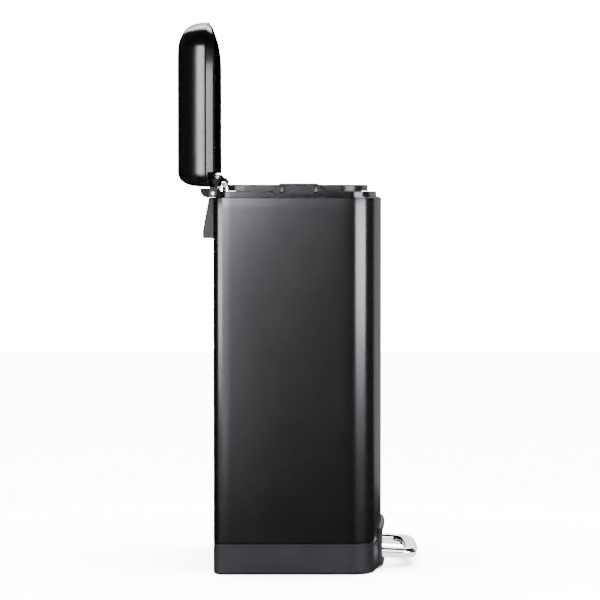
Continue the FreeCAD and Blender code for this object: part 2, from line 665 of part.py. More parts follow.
def pedal_rivets():
    low = PIVOT_Z - PEDAL_T / 2 - PLATE_T
    rivets = [rod_z(x, PEDAL_BACK - 11, low - HEAD_T, low, 4.0) for x in (-36, 0, 36)]
    return press(Part.makeCompound(rivets), PEDAL_TILT)


# ---- push rod ----

def push_rod():
    """Bent wire rod: a straight shank with both ends turned inward as pins."""
    z_low = PIVOT_Z + ROD_STROKE / 2
    z_high = HINGE_Z + ROD_STROKE / 2
    pieces = [rod_z(ROD_X, ROD_Y, z_low + ROD_BEND, z_high - ROD_BEND, ROD_R)]
    for z, turn in ((z_low, 1), (z_high, -1)):
        centre = v(ROD_X - ROD_BEND, ROD_Y, z + turn * ROD_BEND)
        disc = Part.Face(Part.Wire(Part.makeCircle(ROD_R, v(ROD_X, ROD_Y, centre.z), v(0, 0, 1))))
        pieces.append(disc.revolve(centre, v(0, 1, 0), turn * 90))
        pieces.append(rod_x(-5.0, ROD_X - ROD_BEND, ROD_Y, z, PIN_R))
    return join(pieces)


def rod_clips():
    clips = []
    for z in (PIVOT_Z + ROD_STROKE / 2, HINGE_Z + ROD_STROKE / 2):
        clip = rod_x(-4.4, -3.2, ROD_Y, z, 4.5)
        clips.append(clip.cut(rod_x(-6, 0, ROD_Y, z, PIN_R)))
    return Part.makeCompound(clips)


def rod_yoke():
    bar = box(DAMPER_X - 6, ROD_X + 7, DAMPER_Y - 5, DAMPER_Y + 7, YOKE_Z, YOKE_Z + 6)
    bar = bar.cut(rod_z(ROD_X, ROD_Y, YOKE_Z - 1, YOKE_Z + 7, ROD_R))
    return bar.cut(rod_z(DAMPER_X, DAMPER_Y, YOKE_Z - 1, YOKE_Z + 7, PLUNGER_R))


def damper_plunger():
    return rod_z(DAMPER_X, DAMPER_Y, DAMPER_Z0 + 6 + ROD_STROKE, YOKE_Z + 7.5, PLUNGER_R)


# ---- bucket ----

def tapered(inset, z0, z1):
    """Bucket body, narrower at its foot."""
    low = BUCKET_TAPER + inset
    foot = plan(BUCKET_HALF - low, BUCKET_BACK - low, BUCKET_FRONT + low, 20, 30, z0, z0 + 1)
    head = plan(BUCKET_HALF - inset, BUCKET_BACK - inset, BUCKET_FRONT + inset, 20, 30, z1, z1 + 1)
    wires = []
    for block, z in ((foot, z0), (head, z1)):
        face = [f for f in block.Faces if abs(f.CenterOfMass.z - z) < 0.01][0]
        wires.append(face.OuterWire)
    return Part.makeLoft(wires, True, False)


def inner_bucket():
    body = tapered(0, BUCKET_Z, BUCKET_RIM_Z + 1)
    rim = plan(RIM_HALF, RIM_BACK, RIM_FRONT, 26, 36, BUCKET_RIM_Z, BUCKET_TOP_Z)
    rim = rim.makeFillet(1.6, edges_where(rim, lambda e, m: abs(m.z - BUCKET_TOP_Z) < 0.01))
    rim = rim.cut(plan(RIM_HALF - BUCKET_WALL, RIM_BACK - BUCKET_WALL, RIM_FRONT + BUCKET_WALL, 24, 34,
                       BUCKET_RIM_Z - 1, BUCKET_TOP_Z - BUCKET_WALL))
    neck = plan(BUCKET_HALF, BUCKET_BACK, BUCKET_FRONT, 20, 30, BUCKET_RIM_Z, BUCKET_TOP_Z - 0.5)
    whole = body.fuse(rim).fuse(neck)
    whole = whole.cut(box(-TROUGH_HALF, TROUGH_HALF, RIM_NOTCH_Y, RIM_BACK + 1, BUCKET_Z, BUCKET_TOP_Z + 1))
    for side in (-1, 1):
        x0, x1 = sorted((side * (BUCKET_HALF + 1), side * (RIM_HALF + 1)))
        whole = whole.fuse(side_prism(GRIP_OUTLINE, x0, x1))
    inner = BUCKET_WALL
    hollow = tapered(inner, BUCKET_Z + 2.5, BUCKET_RIM_Z + 1)
    whole = whole.cut(hollow)
    whole = whole.cut(plan(BUCKET_HALF - inner, BUCKET_BACK - inner, BUCKET_FRONT + inner, 18, 28,
                           BUCKET_RIM_Z + 0.9, BUCKET_TOP_Z + 5))
    for side in (-1, 1):
        x0, x1 = sorted((side * (BUCKET_HALF + 3), side * (RIM_HALF + 2)))
        whole = whole.cut(box(x0, x1, -GRIP_POCKET, GRIP_POCKET, DIP_Z - 1, GRIP_TOP_Z - 3))
    return whole.removeSplitter()


NODES = {
    "body_shell": body_shell,
    "base": base,
    "base_feet": base_feet,
    "base_screws": base_screws,
    "pedal_housing": pedal_housing,
    "top_collar": top_collar,
    "hinge_base": hinge_base,
    "hinge_axle": hinge_axle,
    "hinge_base_screws": hinge_base_screws,
    "rear_handle": rear_handle,
    "rear_handle_screws": rear_handle_screws,
    "pedal_axle": pedal_axle,
    "axle_clips": axle_clips,
    "rod_guide_upper": lambda: rod_guide(GUIDE_Z[1]),
    "rod_guide_lower": lambda: rod_guide(GUIDE_Z[0]),
    "rod_cover": rod_cover,
    "damper_cylinder": damper_cylinder,
    "damper_bracket": damper_bracket,
    "lid_shell": lid_shell,
    "lid_frame": lid_frame,
    "lid_liner": lid_liner,
    "lid_screws": lid_screws,
    "lid_bumpers": lid_bumpers,
    "hinge_bracket_left": lambda: hinge_bracket(-1),
    "hinge_bracket_right": lambda: hinge_bracket(1),
    "bracket_pins": bracket_pins,
    "bracket_screws": bracket_screws,
    "hinge_leaves": hinge_leaves,
    "lift_arm": lift_arm,
    "lift_arm_screws": lift_arm_screws,
    "pedal": pedal,
    "pedal_lever": pedal_lever,
    "pedal_rivets": pedal_rivets,
    "push_rod": push_rod,
    "rod_clips": rod_clips,
    "rod_yoke": rod_yoke,
    "damper_plunger": damper_plunger,
    "inner_bucket": inner_bucket,
}


def main():
    os.makedirs("parts", exist_ok=True)
    for name, make in NODES.items():
        shape = make()
        if not shape.isValid() or shape.Volume <= 0:
            raise RuntimeError(name + " is not a closed solid")
        shape.exportStep("parts/" + name + ".step")
        print(name, len(shape.Solids), round(shape.Volume / 1000, 1))


main()
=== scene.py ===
import json
import math

import bmesh
import bpy
from mathutils import Matrix, Vector

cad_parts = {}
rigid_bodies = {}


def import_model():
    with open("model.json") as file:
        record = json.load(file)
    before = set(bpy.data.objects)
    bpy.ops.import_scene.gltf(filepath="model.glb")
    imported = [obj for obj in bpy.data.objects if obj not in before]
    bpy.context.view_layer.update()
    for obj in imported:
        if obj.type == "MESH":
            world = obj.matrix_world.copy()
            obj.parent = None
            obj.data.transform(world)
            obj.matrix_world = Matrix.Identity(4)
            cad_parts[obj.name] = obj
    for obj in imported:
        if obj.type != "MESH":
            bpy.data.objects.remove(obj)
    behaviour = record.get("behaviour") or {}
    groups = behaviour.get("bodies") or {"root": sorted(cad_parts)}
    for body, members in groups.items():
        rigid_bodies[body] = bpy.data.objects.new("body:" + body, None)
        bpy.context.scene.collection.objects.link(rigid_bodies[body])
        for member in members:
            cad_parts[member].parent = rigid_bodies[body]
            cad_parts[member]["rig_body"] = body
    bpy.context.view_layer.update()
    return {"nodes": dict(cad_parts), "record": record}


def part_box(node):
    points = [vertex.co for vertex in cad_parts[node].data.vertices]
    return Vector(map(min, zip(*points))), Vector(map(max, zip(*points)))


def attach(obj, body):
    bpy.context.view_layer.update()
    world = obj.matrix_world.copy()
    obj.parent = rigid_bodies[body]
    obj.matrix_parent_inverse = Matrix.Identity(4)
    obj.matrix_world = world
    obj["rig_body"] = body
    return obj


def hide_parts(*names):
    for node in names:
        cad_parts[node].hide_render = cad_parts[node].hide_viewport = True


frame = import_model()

MM = 0.001

# ---- places read from the frame ----

BODY_LO, BODY_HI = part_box("body_shell")
JOINTS = {j["name"]: j for j in frame["record"]["behaviour"]["joints"]}
HINGE = Vector(JOINTS["lid_hinge"]["pos_m"])
PEDAL_PIVOT = Vector(JOINTS["pedal_pivot"]["pos_m"])

HALF_W = BODY_HI[0]
BACK_Y = BODY_HI[1]
FRONT_Y = BODY_LO[1]
SEAM_Z = BODY_LO[2]
RIM_Z = BODY_HI[2]
REAR_R = 16 * MM
FRONT_R = 40 * MM
BOW_R = 1000 * MM
MIN_CORNER_R = 2 * MM

CORNER_STEPS = 10
SIDE_STEPS = 16
BOW_STEPS = 24


# ---- outlines and meshes ----

def arc(cx, cy, r, start, end, steps):
    """Points on an arc, from the angle start to the angle end in degrees."""
    points = []
    for i in range(steps + 1):
        a = math.radians(start + (end - start) * i / steps)
        points.append((cx + r * math.cos(a), cy + r * math.sin(a)))
    return points


def run(a, b, steps):
    """Points strictly between a and b."""
    points = []
    for i in range(1, steps):
        points.append((a[0] + (b[0] - a[0]) * i / steps, a[1] + (b[1] - a[1]) * i / steps))
    return points


def plan(half, back, front, r_back, r_front, stations=()):
    """Rounded outline with a bowed front, anticlockwise from the right end of the bow.

    The two sides get an extra point at each y in stations.
    """
    bow_y = front + BOW_R
    cx = half - r_front
    cy = bow_y - math.sqrt((BOW_R - r_front) ** 2 - cx ** 2)
    lean = math.degrees(math.atan2(bow_y - cy, cx))
    right = arc(cx, cy, r_front, -lean, 0, CORNER_STEPS)
    side = run(right[-1], (half, back - r_back), SIDE_STEPS) + [(half, y) for y in stations]
    right += sorted(side, key=lambda p: p[1])
    right += arc(half - r_back, back - r_back, r_back, 0, 90, CORNER_STEPS)
    left = [(-x, y) for x, y in reversed(right)]
    rear = run(right[-1], left[0], SIDE_STEPS)
    sweep = math.degrees(math.atan2(cx, bow_y - cy))
    front_bow = arc(0, bow_y, BOW_R, -90 - sweep, -90 + sweep, BOW_STEPS)[1:-1]
    return right + rear + left + front_bow


def body_plan(inset):
    """The body's outline, drawn in by inset."""
    return plan(HALF_W - inset, BACK_Y - inset, FRONT_Y + inset,
                max(REAR_R - inset, MIN_CORNER_R), max(FRONT_R - inset, MIN_CORNER_R))


def at(points, z):
    """Puts plane points at the height z."""
    return [(x, y, z) for x, y in points]


def soften(bm, sharp):
    """Shades a bmesh smooth apart from the edges that turn by more than sharp degrees."""
    for face in bm.faces:
        face.smooth = True
    for edge in bm.edges:
        if len(edge.link_faces) == 2 and edge.calc_face_angle(0) > math.radians(sharp):
            edge.smooth = False


def crease(mesh, sharp):
    """The same for a mesh that is already made."""
    bm = bmesh.new()
    bm.from_mesh(mesh)
    soften(bm, sharp)
    bm.to_mesh(mesh)
    bm.free()


def link(name, bm, body, sharp=38.0):
    """Makes the object of a finished bmesh, smooth apart from its sharp edges."""
    bmesh.ops.recalc_face_normals(bm, faces=bm.faces)
    soften(bm, sharp)
    mesh = bpy.data.meshes.new(name)
    bm.to_mesh(mesh)
    bm.free()
    obj = bpy.data.objects.new(name, mesh)
    bpy.context.scene.collection.objects.link(obj)
    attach(obj, body)
    return obj


def stitch(bm, loops, closed=False):
    """Quads between successive closed loops of the same count; closed also joins the last to the first."""
    rings = [[bm.verts.new(p) for p in loop] for loop in loops]
    pairs = list(zip(rings, rings[1:]))
    if closed:
        pairs.append((rings[-1], rings[0]))
    for low, high in pairs:
        n = len(low)
        for i in range(n):
            j = (i + 1) % n
            bm.faces.new((low[i], low[j], high[j], high[i]))
    return rings


def cap(bm, ring, height=0.0, axis=2, steps=6):
    """Fills a ring with shrinking rings that rise by height in the middle."""
    centre = sum((v.co for v in ring), Vector()) / len(ring)
    inner = ring
    for k in range(1, steps + 1):
        t = k / steps
        rise = height * (1 - (1 - t) ** 2)
        if k == steps:
            tip = centre.copy()
            tip[axis] = ring[0].co[axis] + rise
            hub = bm.verts.new(tip)
            for i in range(len(inner)):
                bm.faces.new((inner[i], inner[(i + 1) % len(inner)], hub))
            return
        fresh = []
        for v in ring:
            p = v.co.lerp(centre, t)
            p[axis] = v.co[axis] + rise
            fresh.append(bm.verts.new(p))
        for i in range(len(inner)):
            j = (i + 1) % len(inner)
            bm.faces.new((inner[i], inner[j], fresh[j], fresh[i]))
        inner = fresh


def turn_about(pivot, angle):
    """Turns by angle about the X line through pivot."""
    return Matrix.Translation(pivot) @ Matrix.Rotation(angle, 4, "X") @ Matrix.Translation(-pivot)


LIFT = turn_about(HINGE, -math.pi / 2)


def lifted(loops):
    """Turns loops described on the shut lid up to the open lid."""
    return [[tuple(LIFT @ Vector(p)) for p in loop] for loop in loops]


def quarter(radius, start, end, steps):
    """(inset, rise) pairs round a quarter of a circle that starts upright and ends flat."""
    pairs = []
    for i in range(steps + 1):
        a = math.radians(start + (end - start) * i / steps)
        pairs.append((radius * (1 - math.cos(a)), radius * math.sin(a)))
    return pairs


# ---- materials ----

MIX_COLOUR_A = 6
MIX_COLOUR_B = 7
MIX_COLOUR_OUT = 2
SPREAD_LOW = 0.3
SPREAD_HIGH = 0.7


class Nodes:
    """A material with its Principled shader, and short calls for the nodes that feed it."""

    def __init__(self, name, base, roughness, metallic=0.0, specular=0.5):
        self.material = bpy.data.materials.new(name)
        self.material.use_nodes = True
        self.tree = self.material.node_tree
        self.shader = self.tree.nodes["Principled BSDF"]
        self.material.diffuse_color = (*base, 1)
        for socket, value in (("Base Color", (*base, 1)), ("Roughness", roughness), ("Metallic", metallic),
                              ("Specular IOR Level", specular)):
            self.shader.inputs[socket].default_value = value
        self.coords = self.tree.nodes.new("ShaderNodeTexCoord")

    def add(self, kind, **inputs):
        """Adds a node and sets its inputs by name."""
        node = self.tree.nodes.new(kind)
        for key, value in inputs.items():
            node.inputs[key.replace("_", " ")].default_value = value
        return node

    def wire(self, source, target):
        self.tree.links.new(source, target)

    def noise(self, scale, detail=4.0, rough=0.5, stretch=(1, 1, 1)):
        """Noise fixed to the object, scale features to the metre."""
        mapping = self.add("ShaderNodeMapping", Scale=stretch)
        self.wire(self.coords.outputs["Object"], mapping.inputs["Vector"])
        node = self.add("ShaderNodeTexNoise", Scale=scale, Detail=detail, Roughness=rough)
        self.wire(mapping.outputs["Vector"], node.inputs["Vector"])
        return node.outputs["Fac"]

    def ramp(self, source, low, high):
        """Maps the middle of the noise's spread to low..high."""
        node = self.add("ShaderNodeMapRange", From_Min=SPREAD_LOW, From_Max=SPREAD_HIGH,
                        To_Min=low, To_Max=high)
        self.wire(source, node.inputs["Value"])
        return node.outputs["Result"]

    def vary_roughness(self, source, low, high):
        """Rubbed and dull patches."""
        self.wire(self.ramp(source, low, high), self.shader.inputs["Roughness"])

    def vary_colour(self, source, low, high):
        """Faint unevenness of the colour."""
        mix = self.add("ShaderNodeMix")
        mix.data_type = "RGBA"
        mix.inputs[MIX_COLOUR_A].default_value = (*low, 1)
        mix.inputs[MIX_COLOUR_B].default_value = (*high, 1)
        self.wire(self.ramp(source, 0, 1), mix.inputs["Factor"])
        self.wire(mix.outputs[MIX_COLOUR_OUT], self.shader.inputs["Base Color"])

    def relief(self, source, strength, distance):
        """Grain or waviness of the surface, distance in metres."""
        bump = self.add("ShaderNodeBump", Strength=strength, Distance=distance)
        self.wire(source, bump.inputs["Height"])
        self.wire(bump.outputs["Normal"], self.shader.inputs["Normal"])


def black_steel():
    """Satin black coated steel with a faint waviness."""
    m = Nodes("black_steel", (0.0006, 0.0006, 0.0007), 0.22, specular=0.58)
    m.vary_roughness(m.noise(scale=9, detail=6, rough=0.6), low=0.205, high=0.235)
    m.vary_colour(m.noise(scale=5, detail=3), low=(0.0005, 0.0005, 0.0006), high=(0.0008, 0.0008, 0.0009))
    m.relief(m.noise(scale=26, detail=2, rough=0.4), strength=0.03, distance=0.00006)
    return m.material


def base_plastic():
    """Matt moulding with a leather-like grain."""
    m = Nodes("base_plastic", (0.0040, 0.0031, 0.0044), 0.55, specular=0.20)
    m.vary_roughness(m.noise(scale=14, detail=5), low=0.48, high=0.62)
    m.vary_colour(m.noise(scale=20, detail=5, rough=0.6),
                  low=(0.0031, 0.0024, 0.0035), high=(0.0052, 0.0040, 0.0058))
    m.relief(m.noise(scale=900, detail=4, rough=0.6), strength=0.30, distance=0.00012)
    return m.material


def grey_plastic():
    """Matt dark grey moulding with a finer grain."""
    m = Nodes("grey_plastic", (0.0085, 0.0085, 0.0095), 0.46, specular=0.25)
    m.vary_roughness(m.noise(scale=18, detail=5), low=0.42, high=0.54)
    m.vary_colour(m.noise(scale=16, detail=4), low=(0.0070, 0.0070, 0.0080), high=(0.0100, 0.0100, 0.0112))
    m.relief(m.noise(scale=1100, detail=3, rough=0.6), strength=0.22, distance=0.00012)
    return m.material


def gloss_plastic():
    """Smooth glossy black moulding."""
    m = Nodes("gloss_plastic", (0.0022, 0.0022, 0.0026), 0.18, specular=0.42)
    m.vary_roughness(m.noise(scale=30, detail=5), low=0.16, high=0.21)
    m.vary_colour(m.noise(scale=25, detail=4), low=(0.0018, 0.0018, 0.0022), high=(0.0028, 0.0028, 0.0032))
    m.relief(m.noise(scale=60, detail=3), strength=0.05, distance=0.0001)
    return m.material


def bucket_plastic():
    """Dark polypropylene with a light sheen."""
    m = Nodes("bucket_plastic", (0.0044, 0.0044, 0.0052), 0.26, specular=0.36)
    m.vary_roughness(m.noise(scale=12, detail=5), low=0.22, high=0.32)
    m.vary_colour(m.noise(scale=9, detail=4), low=(0.0038, 0.0038, 0.0045), high=(0.0054, 0.0054, 0.0062))
    m.relief(m.noise(scale=700, detail=3, rough=0.6), strength=0.15, distance=0.0001)
    return m.material


def rubber():
    """Soft black rubber."""
    m = Nodes("rubber", (0.012, 0.012, 0.012), 0.8, specular=0.3)
    m.vary_roughness(m.noise(scale=40, detail=4), low=0.74, high=0.88)
    m.vary_colour(m.noise(scale=60, detail=4), low=(0.010, 0.010, 0.010), high=(0.015, 0.015, 0.015))
    m.relief(m.noise(scale=800, detail=3), strength=0.3, distance=0.0002)
    return m.material


def chrome():
    """Bright chrome plating with light smears."""
    m = Nodes("chrome", (0.80, 0.81, 0.83), 0.05, metallic=1.0)
    m.vary_roughness(m.noise(scale=35, detail=6, rough=0.6), low=0.03, high=0.09)
    m.vary_colour(m.noise(scale=20, detail=4), low=(0.78, 0.79, 0.81), high=(0.83, 0.84, 0.86))
    m.relief(m.noise(scale=18, detail=2), strength=0.04, distance=0.0003)
    return m.material


def plated_steel():
    """Zinc plated steel, brushed upright."""
    m = Nodes("plated_steel", (0.66, 0.64, 0.58), 0.32, metallic=1.0)
    m.vary_roughness(m.noise(scale=60, detail=5, stretch=(1, 1, 0.1)), low=0.24, high=0.42)
    m.vary_colour(m.noise(scale=45, detail=5), low=(0.60, 0.58, 0.52), high=(0.72, 0.70, 0.64))
    m.relief(m.noise(scale=300, detail=3, stretch=(1, 1, 0.1)), strength=0.1, distance=0.0001)
    return m.material


def black_bracket():
    """Powder coated steel."""
    m = Nodes("black_bracket", (0.006, 0.006, 0.0066), 0.36, specular=0.4)
    m.vary_roughness(m.noise(scale=70, detail=5), low=0.30, high=0.44)
    m.vary_colour(m.noise(scale=50, detail=4), low=(0.005, 0.005, 0.0055), high=(0.0075, 0.0075, 0.0082))
    m.relief(m.noise(scale=500, detail=3), strength=0.15, distance=0.0001)
    return m.material


MAKERS = (black_steel, base_plastic, grey_plastic, gloss_plastic, bucket_plastic, rubber, chrome,
          plated_steel, black_bracket)
MATERIALS = {make.__name__: make() for make in MAKERS}


def finish_as(obj, slot, *nodes):
    """Gives a piece its material and record slot, and lets it stand for CAD nodes."""
    obj.data.materials.clear()
    obj.data.materials.append(MATERIALS[slot])
    if nodes:
        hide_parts(*nodes)
    return obj


for part in frame["record"]["subparts"]:
    node = frame["nodes"][part["node"]]
    if not node.material_slots:
        node.data.materials.append(None)
    for material_slot in node.material_slots:
        material_slot.material = MATERIALS[part["material_slot"]]


# ---- pieces ----

def body_shell():
    """Steel wall with a rolled foot and a rolled top hem, seen from both sides."""
    foot_r = 1.0 * MM
    hem_r = 1.3 * MM
    hem_depth = 2 * hem_r
    hem_turn_steps = 12
    hem_inner_z = RIM_Z - 0.6 * MM
    hem_end_z = RIM_Z - 8 * MM
    wall = 1.5 * MM
    hem_fold = 0.5 * MM
    wall_levels = (4, 8, 60, 130, 200, 280, 360, 430, 490, 530)
    loops = []
    for inset, rise in reversed(quarter(foot_r, 0, 90, 4)):
        loops.append(at(body_plan(inset), SEAM_Z + foot_r - rise))
    for z in wall_levels:
        loops.append(at(body_plan(0), SEAM_Z + z * MM))
    for i in range(9):
        a = math.pi * i / hem_turn_steps
        loops.append(at(body_plan(hem_r * (1 - math.cos(a))), RIM_Z - hem_r + hem_r * math.sin(a)))
    loops.append(at(body_plan(hem_depth), hem_inner_z))
    loops.append(at(body_plan(hem_depth), hem_end_z))
    loops.append(at(body_plan(wall), hem_end_z - hem_fold))
    loops.append(at(body_plan(wall), SEAM_Z))
    bm = bmesh.new()
    stitch(bm, loops, closed=True)
    return link("body_wall", bm, "can", sharp=50)


LID_SEAM_Z = 610.7 * MM
LID_TOP_Z = 658.0 * MM
LID_RIM_Z = 596.8 * MM
LID_HALF_W = 202.3 * MM
LID_BACK_Y = 128 * MM
LID_FRONT_Y = -139.6 * MM
LID_REAR_R = 20 * MM
LID_FRONT_R = 36 * MM
LID_MIN_REAR_R = 4 * MM
LID_MIN_FRONT_R = 6 * MM
CORNER_SHRINK = 0.4
WINDOW_Y = HINGE.y - 33.5 * MM
WINDOW_EDGE = 0.3 * MM
WINDOW_X = 183 * MM
LIP_START = -70.0 * MM
LIP_END = -142.0 * MM
LIP_RISE = 10.8 * MM


def lid_plan(side, back, front):
    """The lid's outline at the rim, drawn in at its sides, back and front."""
    return plan(LID_HALF_W - side, LID_BACK_Y - back, LID_FRONT_Y + front,
                max(LID_REAR_R - back * CORNER_SHRINK, LID_MIN_REAR_R),
                max(LID_FRONT_R - front * CORNER_SHRINK, LID_MIN_FRONT_R),
                (WINDOW_Y - WINDOW_EDGE, WINDOW_Y + WINDOW_EDGE))


def lid_dome():
    """Domed steel lid: a fine rounded hem, then sides that curve over into a crowned top."""
    reach = 31 * MM
    back_reach = 26 * MM
    front_reach = 42 * MM
    power = 2.6
    sheet = 0.9 * MM
    crown = 1.5 * MM
    foot = LID_SEAM_Z + 1.6 * MM
    top = LID_TOP_Z - 1.6 * MM
    first_angle = 2
    outer = []
    for depth, rise in ((1.0, 0.1), (0.45, 0.3), (0.12, 0.75), (0.0, 1.3)):
        outer.append(at(lid_plan(depth * MM, depth * MM, depth * MM), LID_SEAM_Z + rise * MM))
    steps = 26
    for i in range(steps + 1):
        t = math.sin(math.radians(first_angle + (90 - first_angle) * i / steps))
        curve = 1 - max(0, 1 - t ** power) ** (1 / power)
        z = foot + (top - foot) * t
        outer.append(at(lid_plan(curve * reach, curve * back_reach, curve * front_reach), z))
    bm = bmesh.new()
    rings = stitch(bm, lifted(outer))
    cap(bm, rings[-1], height=crown, axis=1)
    obj = link("lid_dome", bm, "lid", sharp=60)
    wall = obj.modifiers.new("sheet", "SOLIDIFY")
    wall.thickness = sheet
    wall.offset = -1
    return obj


def lip_arc(y):
    """Height of the lid's lower edge on the shut lid: level, then rising along an arc to the front."""
    if y > LIP_START:
        return LID_RIM_Z
    t = (LIP_START - y) / (LIP_START - LIP_END)
    return LID_RIM_Z + LIP_RISE * t * t


def lid_band():
    """Rim of the lid: flat beside the seam, rolled in at its edge, and leaning in along the rising lip."""
    wall = 2.0 * MM
    shelf = 12 * MM
    shelf_z = LID_SEAM_Z - 2.0 * MM
    window_drop = 0.4 * MM
    edge_roll = 1.2 * MM
    roll_start = 0.8
    lean_slope = 0.5
    lean_limit = 4.5 * MM
    blend_ahead = 6 * MM
    blend_length = 14 * MM
    steps = 12
    outline = lid_plan(0, 0, 0)

    def low(i):
        """Height of the lower edge at a point; beside the hinge brackets a window reaches up to the shelf."""
        x, y = outline[i]
        return shelf_z - window_drop if y > WINDOW_Y and abs(x) > WINDOW_X else lip_arc(y)

    def inset(i, t):
        """How far in the wall stands at the share t of its height, down from the seam."""
        lean = min(max((LIP_START + blend_ahead - outline[i][1]) / blend_length, 0), 1)
        roll = edge_roll * max(0, (t - roll_start) / (1 - roll_start)) ** 2
        reach = min(edge_roll + lean_slope * (low(i) - LID_RIM_Z), lean_limit)
        return roll * (1 - lean) + reach * t * lean

    plans = {}
    plan_steps = 20

    def point(i, depth, z):
        """Point i of the outline drawn in by depth, which is rounded so that outlines are shared."""
        key = round(depth / MM * plan_steps)
        if key not in plans:
            drawn_in = key * MM / plan_steps
            plans[key] = lid_plan(drawn_in, drawn_in, drawn_in)
        return (*plans[key][i], z)

    every = range(len(outline))
    loops = []
    for k in range(steps + 1):
        t = k / steps
        loops.append([point(i, inset(i, t), LID_SEAM_Z + (low(i) - LID_SEAM_Z) * t) for i in every])
    for k in range(steps, -1, -1):
        t = k / steps
        loops.append([point(i, inset(i, t) + wall, shelf_z + (low(i) - shelf_z) * t) for i in every])
    loops.append([point(i, shelf, shelf_z) for i in every])
    loops.append([point(i, shelf, LID_SEAM_Z) for i in every])
    bm = bmesh.new()
    stitch(bm, lifted(loops), closed=True)
    return link("lid_band", bm, "lid", sharp=45)


BOW_Y = FRONT_Y + BOW_R
ARCH_HALF = 120 * MM
ARCH_SIDE_Z = 65 * MM
ARCH_CROWN = 6 * MM
ARCH_Z0 = 3 * MM
ARCH_TOP_R = 18 * MM
ARCH_FOOT_R = 10 * MM


def arch_outline(inset):
    """(x, z) points round the pedal surround, with a slightly crowned top."""
    half = ARCH_HALF - inset
    low = ARCH_Z0 + inset
    high = ARCH_SIDE_Z - inset
    top_r = ARCH_TOP_R - inset
    foot_r = ARCH_FOOT_R - inset / 2
    right = run((0, low), (half - foot_r, low), 12)
    right += arc(half - foot_r, low + foot_r, foot_r, -90, 0, 6)
    right += run((half, low + foot_r), (half, high - top_r), 6)
    right += arc(half - top_r, high - top_r, top_r, 0, 90, 8)
    right += run((half - top_r, high), (0, high), 14)
    crowned = []
    for x, z in right:
        rise = ARCH_CROWN * (1 - (x / half) ** 2) if z > high - 0.3 * top_r else 0
        crowned.append((x, z + rise))
    left = [(-x, z) for x, z in reversed(crowned)]
    return [(0, low)] + crowned + [(0, high + ARCH_CROWN)] + left


def bow(x):
    """The front surface's y at x."""
    return BOW_Y - math.sqrt(BOW_R ** 2 - x ** 2)


def pedal_surround():
    """Arched plastic surround: a rounded flange proud of the front and a tunnel running back from it."""
    proud = 6 * MM
    edge_r = 2.2 * MM
    overlap = 0.2 * MM
    flange = 5.6 * MM
    tunnel_inner = 6.5 * MM
    tunnel_outer = 3.7 * MM
    inner_bevel = tunnel_inner - flange
    tunnel_y = -112 * MM
    sill_y = -64 * MM
    sill_z = 14 * MM

    def ring(inset, ahead):
        """The outline laid on the bowed front and moved forward."""
        return [(x, bow(x) - ahead, z) for x, z in arch_outline(inset)]

    def end(inset):
        """The tunnel's inner end; its floor runs further back than the rest, under the pedal."""
        return [(x, sill_y if z < sill_z else tunnel_y, z) for x, z in arch_outline(inset)]

    loops = [ring(0, -overlap), ring(0, proud - edge_r)]
    for depth, rise in quarter(edge_r, 0, 90, 5)[1:]:
        loops.append(ring(depth, proud - edge_r + rise))
    loops.append(ring(flange, proud))
    loops.append(ring(tunnel_inner, proud - inner_bevel))
    loops.append(end(tunnel_inner))
    loops.append(end(tunnel_outer))
    loops.append(ring(tunnel_outer, -overlap))
    bm = bmesh.new()
    stitch(bm, loops, closed=True)
    return link("pedal_surround", bm, "can", sharp=45)


def cut_arch(obj):
    """Opens the wall where the pedal surround passes through it."""
    opening_inset = 3.4 * MM
    cut_from_y = FRONT_Y - 20 * MM
    cut_to_y = -60 * MM
    bm = bmesh.new()
    loops = [[(x, y, z) for x, z in arch_outline(opening_inset)] for y in (cut_from_y, cut_to_y)]
    for edge_ring in stitch(bm, loops):
        bm.faces.new(edge_ring)
    bmesh.ops.recalc_face_normals(bm, faces=bm.faces)
    mesh = bpy.data.meshes.new("arch_cutter")
    bm.to_mesh(mesh)
    bm.free()
    cutter = bpy.data.objects.new("arch_cutter", mesh)
    bpy.context.scene.collection.objects.link(cutter)
    cut = obj.modifiers.new("arch", "BOOLEAN")
    cut.operation = "DIFFERENCE"
    cut.solver = "EXACT"
    cut.object = cutter
    graph = bpy.context.evaluated_depsgraph_get()
    whole = bpy.data.meshes.new_from_object(obj.evaluated_get(graph))
    obj.modifiers.clear()
    obj.data = whole
    crease(whole, 30.0)
    bpy.data.objects.remove(cutter)
    return obj


PEDAL_TILT = math.radians(2.6)


def pedal_loop():
    """Cast chrome loop with a rounded section, tilted as it is when held down."""
    section_points = 20
    power = 2.5
    half_t = 8.7 * MM
    outer = plan(half=108 * MM, back=-60 * MM, front=-194.2 * MM, r_back=10 * MM, r_front=26 * MM)
    inner = plan(half=86 * MM, back=-82 * MM, front=-173.3 * MM, r_back=8 * MM, r_front=14 * MM)
    loops = []
    for i in range(section_points):
        a = 2 * math.pi * i / section_points
        across = math.copysign(abs(math.cos(a)) ** (2 / power), math.cos(a))
        up = math.copysign(abs(math.sin(a)) ** (2 / power), math.sin(a))
        loop = []
        for (x0, y0), (x1, y1) in zip(inner, outer):
            t = (1 + across) / 2
            loop.append((x0 + (x1 - x0) * t, y0 + (y1 - y0) * t, PEDAL_PIVOT.z + half_t * up))
        loops.append(loop)
    turn = turn_about(PEDAL_PIVOT, PEDAL_TILT)
    bm = bmesh.new()
    stitch(bm, [[tuple(turn @ Vector(p)) for p in loop] for loop in loops], closed=True)
    return link("pedal_loop", bm, "pedal", sharp=70)


